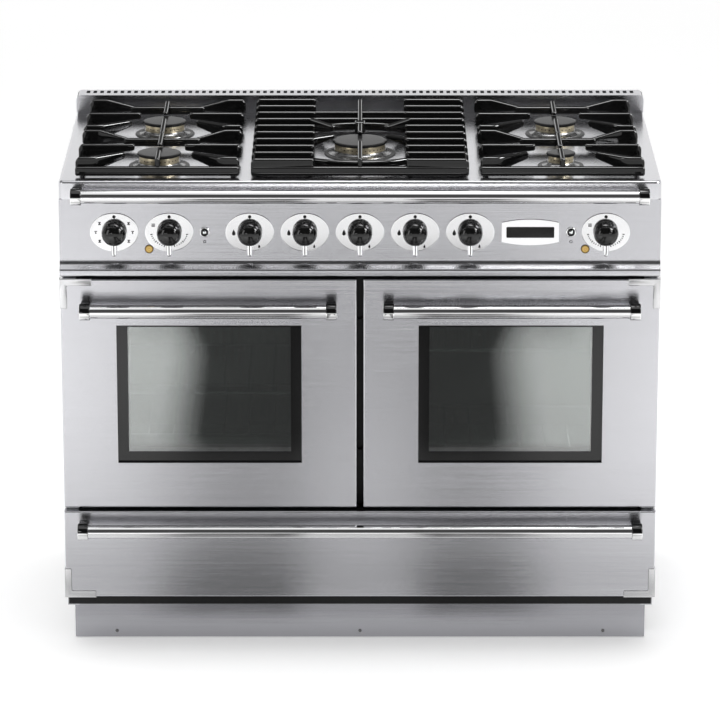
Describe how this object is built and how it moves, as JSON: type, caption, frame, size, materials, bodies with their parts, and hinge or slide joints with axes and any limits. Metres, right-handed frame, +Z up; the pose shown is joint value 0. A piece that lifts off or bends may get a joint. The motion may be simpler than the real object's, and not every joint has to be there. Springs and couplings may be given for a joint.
{
  "type": "range cooker",
  "caption": "Free-standing dual fuel range cooker with a gas hob, cast pan supports, side-hinged glazed oven doors, a storage drawer and round bar handles.",
  "frame": {"origin": "on the floor below the middle of the cooker's bounding box", "axes": "+X to the right seen from the front, +Y towards the wall, +Z up"},
  "size_m": [1.095, 0.6596, 0.94],
  "materials": {
    "stainless": "fine horizontal grain",
    "galvanised": "zinc-coated sheet",
    "oven_enamel": "vitreous enamel",
    "chrome": "polished",
    "cast_iron": "gloss enamel",
    "burner_grey": "satin",
    "brass": "turned",
    "black_plastic": "gloss",
    "seal": "matt",
    "foot": "matt",
    "dark_steel": "heat-darkened",
    "ceramic": "glazed",
    "glass": "clear, dark border",
    "amber": "moulded lens"
  },
  "bodies": {
    "casing": {"side_panels": "stainless", "back_panel": "galvanised", "base_frame": "galvanised", "plinth": "stainless", "levelling_feet": "foot", "front_frame": "galvanised", "oven_seals": "seal", "fan_covers": "oven_enamel", "fan_motors": "galvanised", "shelf_ladders": "chrome", "oven_shelves": "chrome", "heating_elements": "dark_steel", "hinge_brackets": "galvanised", "door_catches": "black_plastic", "drawer_runners": "galvanised", "oven_liner_left": "oven_enamel", "oven_liner_right": "oven_enamel", "control_panel": "stainless", "knob_bezels": "chrome", "control_valves": "brass", "button_rings": "chrome", "indicator_lamps": "amber", "badge_plate": "chrome", "hob_rail": "chrome", "hob_top": "stainless", "rear_vent_trim": "stainless", "burner_cups": "burner_grey", "burner_heads": "brass", "burner_caps": "burner_grey", "igniters": "ceramic", "gas_pipes": "brass"},
    "knob_front_left": {"knob_front_left": "black_plastic"},
    "knob_rear_left": {"knob_rear_left": "black_plastic"},
    "knob_wok": {"knob_wok": "black_plastic"},
    "knob_rear_right": {"knob_rear_right": "black_plastic"},
    "knob_front_right": {"knob_front_right": "black_plastic"},
    "knob_oven_mode": {"knob_oven_mode": "black_plastic"},
    "knob_left_oven": {"knob_left_oven": "black_plastic"},
    "knob_right_oven": {"knob_right_oven": "black_plastic"},
    "ignition_button": {"ignition_button": "black_plastic"},
    "light_button": {"light_button": "black_plastic"},
    "door_left": {"door_skin_left": "stainless", "door_glass_left": "glass", "door_liner_left": "galvanised", "door_handle_left": "chrome", "door_corner_cap_left": "chrome"},
    "oven_fan_left": {"oven_fan_left": "dark_steel"},
    "door_right": {"door_skin_right": "stainless", "door_glass_right": "glass", "door_liner_right": "galvanised", "door_handle_right": "chrome", "door_corner_cap_right": "chrome"},
    "oven_fan_right": {"oven_fan_right": "dark_steel"},
    "drawer": {"drawer_front": "stainless", "drawer_tray": "galvanised", "drawer_handle": "chrome", "drawer_corner_caps": "chrome"},
    "pan_support_left": {"pan_support_left": "cast_iron"},
    "pan_support_centre": {"pan_support_centre": "cast_iron"},
    "pan_support_right": {"pan_support_right": "cast_iron"}
  },
  "joints": [
    {"name": "knob_front_left_turn", "type": "hinge", "parent": "casing", "child": "knob_front_left", "pos_m": [-0.2, -0.27025, 0.81], "axis": [0, -1, 0], "range_deg": [0, 210]},
    {"name": "knob_rear_left_turn", "type": "hinge", "parent": "casing", "child": "knob_rear_left", "pos_m": [-0.1, -0.27025, 0.81], "axis": [0, -1, 0], "range_deg": [0, 210]},
    {"name": "knob_wok_turn", "type": "hinge", "parent": "casing", "child": "knob_wok", "pos_m": [0, -0.27025, 0.81], "axis": [0, -1, 0], "range_deg": [0, 210]},
    {"name": "knob_rear_right_turn", "type": "hinge", "parent": "casing", "child": "knob_rear_right", "pos_m": [0.1, -0.27025, 0.81], "axis": [0, -1, 0], "range_deg": [0, 210]},
    {"name": "knob_front_right_turn", "type": "hinge", "parent": "casing", "child": "knob_front_right", "pos_m": [0.2, -0.27025, 0.81], "axis": [0, -1, 0], "range_deg": [0, 210]},
    {"name": "knob_oven_mode_turn", "type": "hinge", "parent": "casing", "child": "knob_oven_mode", "pos_m": [-0.446, -0.27025, 0.81], "axis": [0, -1, 0], "range_deg": [0, 300]},
    {"name": "knob_left_oven_turn", "type": "hinge", "parent": "casing", "child": "knob_left_oven", "pos_m": [-0.346, -0.27025, 0.81], "axis": [0, -1, 0], "range_deg": [0, 270]},
    {"name": "knob_right_oven_turn", "type": "hinge", "parent": "casing", "child": "knob_right_oven", "pos_m": [0.446, -0.27025, 0.81], "axis": [0, -1, 0], "range_deg": [0, 270]},
    {"name": "ignition_button_press", "type": "slide", "parent": "casing", "child": "ignition_button", "axis": [0, 1, 0], "range_m": [0, 0.0025], "stiffness_N_per_m": 400},
    {"name": "light_button_press", "type": "slide", "parent": "casing", "child": "light_button", "axis": [0, 1, 0], "range_m": [0, 0.0025], "stiffness_N_per_m": 400},
    {"name": "door_left_swing", "type": "hinge", "parent": "casing", "child": "door_left", "pos_m": [-0.532, -0.24925, 0.503], "axis": [0, 0, -1], "range_deg": [0, 110]},
    {"name": "oven_fan_left_spin", "type": "hinge", "parent": "casing", "child": "oven_fan_left", "pos_m": [-0.276, 0.17175, 0.495], "axis": [0, -1, 0], "continuous": true},
    {"name": "door_right_swing", "type": "hinge", "parent": "casing", "child": "door_right", "pos_m": [0.532, -0.24925, 0.503], "axis": [0, 0, 1], "range_deg": [0, 110]},
    {"name": "oven_fan_right_spin", "type": "hinge", "parent": "casing", "child": "oven_fan_right", "pos_m": [0.276, 0.17175, 0.495], "axis": [0, -1, 0], "continuous": true},
    {"name": "drawer_slide", "type": "slide", "parent": "casing", "child": "drawer", "axis": [0, -1, 0], "range_m": [0, 0.38]},
    {"name": "pan_support_left_lift", "type": "slide", "parent": "casing", "child": "pan_support_left", "axis": [0, 0, 1], "range_m": [0, 0.06]},
    {"name": "pan_support_centre_lift", "type": "slide", "parent": "casing", "child": "pan_support_centre", "axis": [0, 0, 1], "range_m": [0, 0.06]},
    {"name": "pan_support_right_lift", "type": "slide", "parent": "casing", "child": "pan_support_right", "axis": [0, 0, 1], "range_m": [0, 0.06]}
  ]
}
